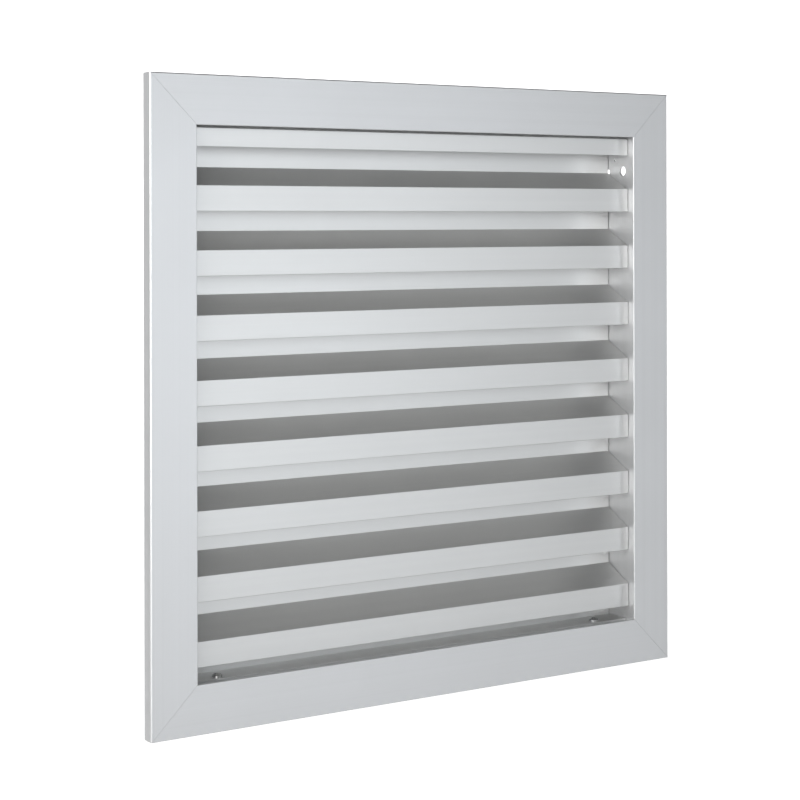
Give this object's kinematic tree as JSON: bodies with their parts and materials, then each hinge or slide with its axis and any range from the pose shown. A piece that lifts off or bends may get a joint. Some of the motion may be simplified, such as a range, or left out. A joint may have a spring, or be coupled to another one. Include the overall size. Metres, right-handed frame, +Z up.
{
  "type": "louvred air grille",
  "caption": "Square flanged aluminium wall grille with fixed Z-section weather louvres, a mitred frame and a rear mesh guard.",
  "frame": {"origin": "middle of the opening, in the plane of the wall's face that the flange's return lip rests on", "axes": "+X right and +Z up as seen from outside, +Y into the wall; the front faces -Y"},
  "size_m": [0.5, 0.055, 0.5],
  "materials": {
    "frame_finish": "satin anodised, drawn along each side",
    "blade_finish": "satin anodised, drawn along the blade",
    "mill_finish": "plain mill finish",
    "mesh_wire": "drawn wire",
    "rivet_metal": "smooth",
    "screw_steel": "passivated"
  },
  "bodies": {
    "root": {"frame_head": "frame_finish", "frame_sill": "frame_finish", "frame_jamb_left": "frame_finish", "frame_jamb_right": "frame_finish", "corner_cleat_top_left": "mill_finish", "corner_cleat_top_right": "mill_finish", "corner_cleat_bottom_left": "mill_finish", "corner_cleat_bottom_right": "mill_finish", "cleat_screws": "screw_steel", "top_blade": "blade_finish", "blade_1": "blade_finish", "blade_2": "blade_finish", "blade_3": "blade_finish", "blade_4": "blade_finish", "blade_5": "blade_finish", "blade_6": "blade_finish", "blade_7": "blade_finish", "blade_8": "blade_finish", "sill_upstand": "blade_finish", "sill_screws": "screw_steel", "head_rivets": "rivet_metal", "end_screws_left": "screw_steel", "end_screws_right": "screw_steel", "mesh_panel": "mesh_wire", "mesh_strip_top": "mill_finish", "mesh_strip_bottom": "mill_finish", "mesh_strip_left": "mill_finish", "mesh_strip_right": "mill_finish", "mesh_rivets": "rivet_metal"}
  },
  "joints": []
}
